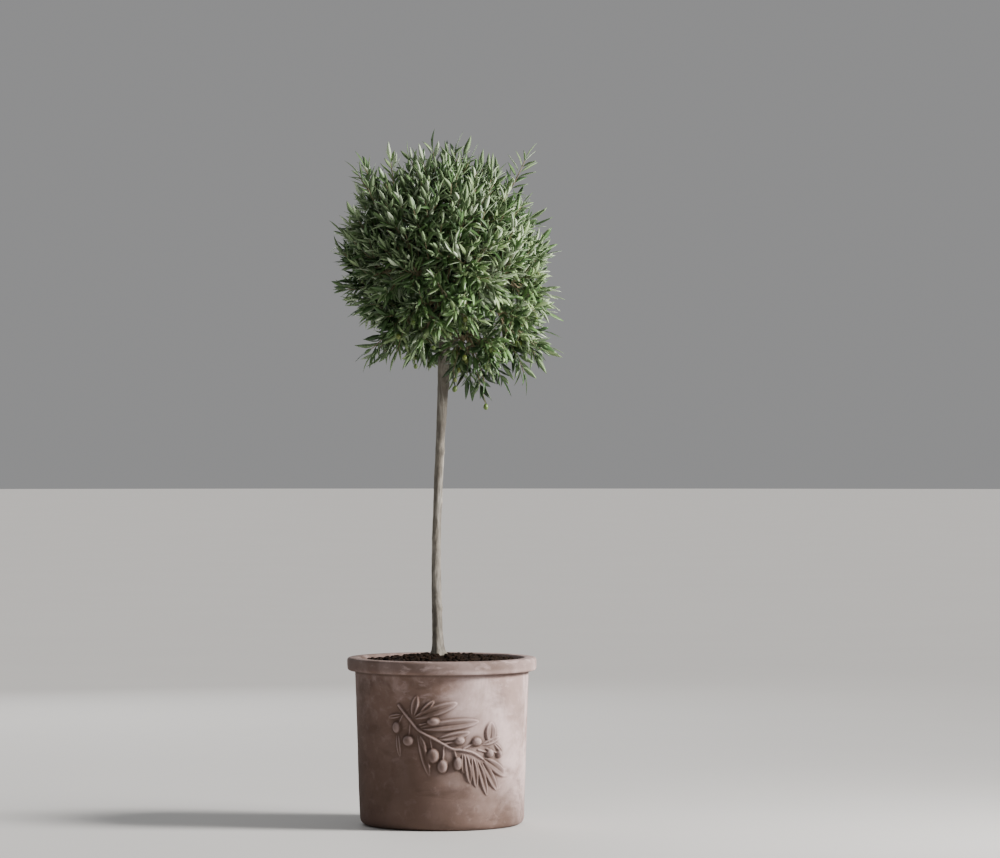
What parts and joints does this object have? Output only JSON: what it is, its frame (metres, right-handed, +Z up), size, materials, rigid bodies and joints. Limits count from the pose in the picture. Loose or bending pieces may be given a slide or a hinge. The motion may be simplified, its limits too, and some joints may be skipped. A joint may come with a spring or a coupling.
{
  "type": "potted olive tree",
  "caption": "Ball-headed olive standard on a slim bare trunk in a thick-rimmed clay pot with an olive-sprig relief.",
  "frame": {"origin": "centre of the pot's flat underside, on the floor", "axes": "+Z up along the pot's axis, -Y towards the side with the relief, +X to its right seen from the front"},
  "size_m": [0.6152, 0.5475, 1.797],
  "materials": {
    "clay": "unglazed, matte",
    "soil": "crumbly, matte",
    "bark": "rough",
    "foliage": "leathery leaves, satin"
  },
  "bodies": {
    "root": {"pot": "clay", "soil": "soil", "trunk": "bark", "bough_upper_right": "bark", "bough_upper_back_right": "bark", "bough_upper_back_left": "bark", "bough_upper_left": "bark", "bough_upper_front_left": "bark", "bough_upper_front_right": "bark", "bough_right": "bark", "bough_back_right": "bark", "bough_back_left": "bark", "bough_left": "bark", "bough_front_left": "bark", "bough_front_right": "bark", "bough_low_right": "bark", "bough_low_back_right": "bark", "bough_low_back_left": "bark", "bough_low_left": "bark", "bough_low_front": "bark", "bough_hanging": "bark", "foliage_top": "foliage", "foliage_upper_right": "foliage", "foliage_upper_back_right": "foliage", "foliage_upper_back_left": "foliage", "foliage_upper_left": "foliage", "foliage_upper_front_left": "foliage", "foliage_upper_front_right": "foliage", "foliage_right": "foliage", "foliage_back_right": "foliage", "foliage_back_left": "foliage", "foliage_left": "foliage", "foliage_front_left": "foliage", "foliage_front_right": "foliage", "foliage_low_right": "foliage", "foliage_low_back_right": "foliage", "foliage_low_back_left": "foliage", "foliage_low_left": "foliage", "foliage_low_front": "foliage", "foliage_hanging": "foliage"}
  },
  "joints": []
}
